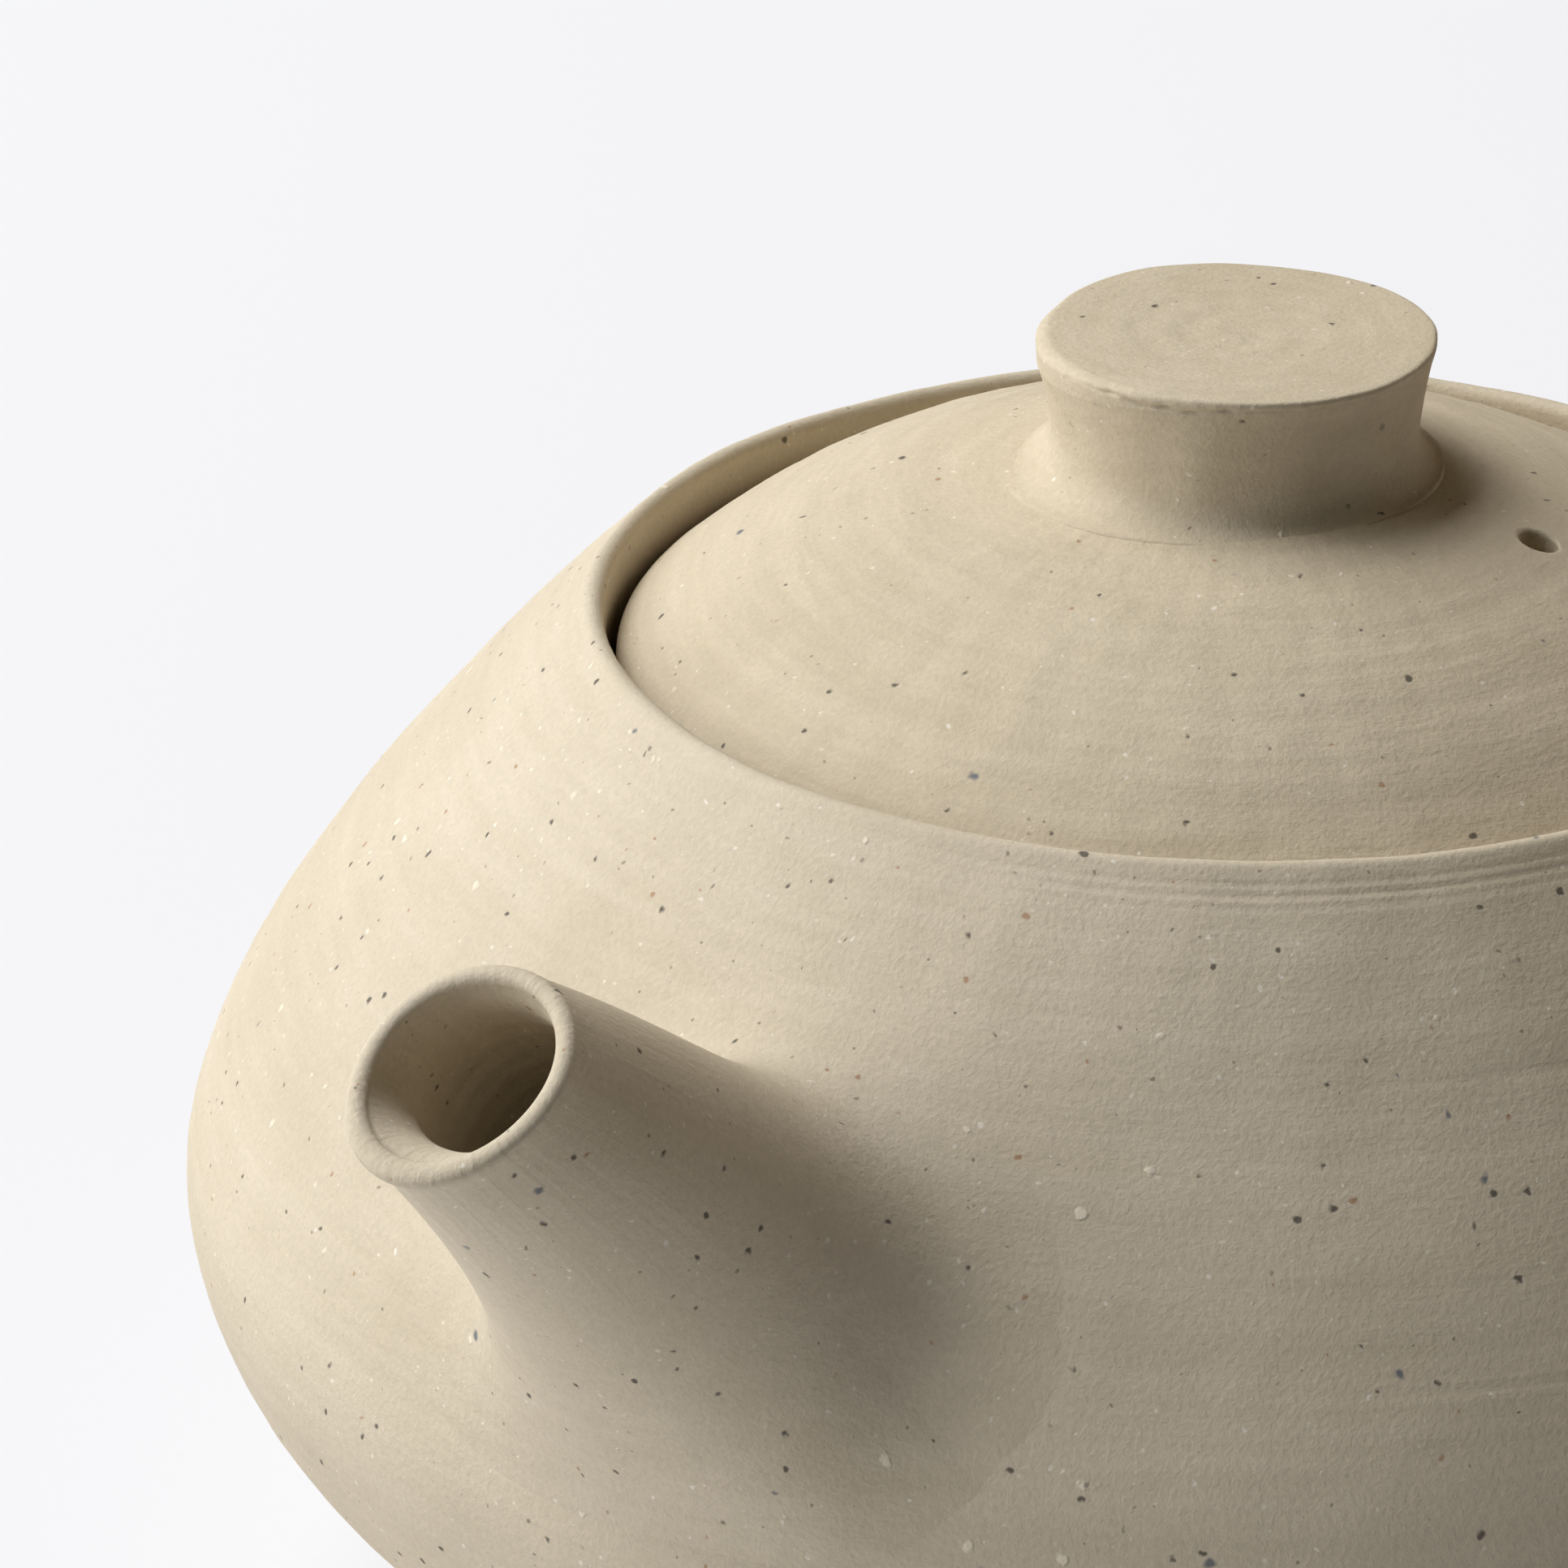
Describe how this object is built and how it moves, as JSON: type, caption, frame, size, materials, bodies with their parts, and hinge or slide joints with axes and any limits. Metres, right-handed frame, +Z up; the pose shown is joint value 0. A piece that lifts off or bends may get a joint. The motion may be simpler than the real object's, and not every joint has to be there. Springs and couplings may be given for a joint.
{
  "type": "kyusu teapot",
  "caption": "Side-handled stoneware teapot with a flared spout, an inset domed lid with a drum knob, and a pierced clay strainer behind the spout.",
  "frame": {"origin": "centre of the flat base, on the pot's axis", "axes": "+Z up along the pot's axis; the spout points along -Y; the side handle points along +X, to the right of someone who holds the pot with the spout away from them turned a quarter to the left"},
  "size_m": [0.1734, 0.1245, 0.0731],
  "materials": {
    "pot_clay": "unglazed matte grey-beige stoneware, wheel-thrown and wiped, with fine white, rust and iron specks",
    "strainer_clay": "the same unglazed clay, pierced while leather-hard",
    "lid_clay": "the same unglazed clay with faint throwing rings"
  },
  "bodies": {
    "pot": {"body": "pot_clay", "spout": "pot_clay", "handle": "pot_clay", "strainer": "strainer_clay"},
    "lid": {"lid": "lid_clay", "knob": "lid_clay"}
  },
  "joints": [
    {"name": "lid_lift", "type": "slide", "parent": "pot", "child": "lid", "axis": [0, 0, 1], "range_m": [0, 0.04]}
  ]
}
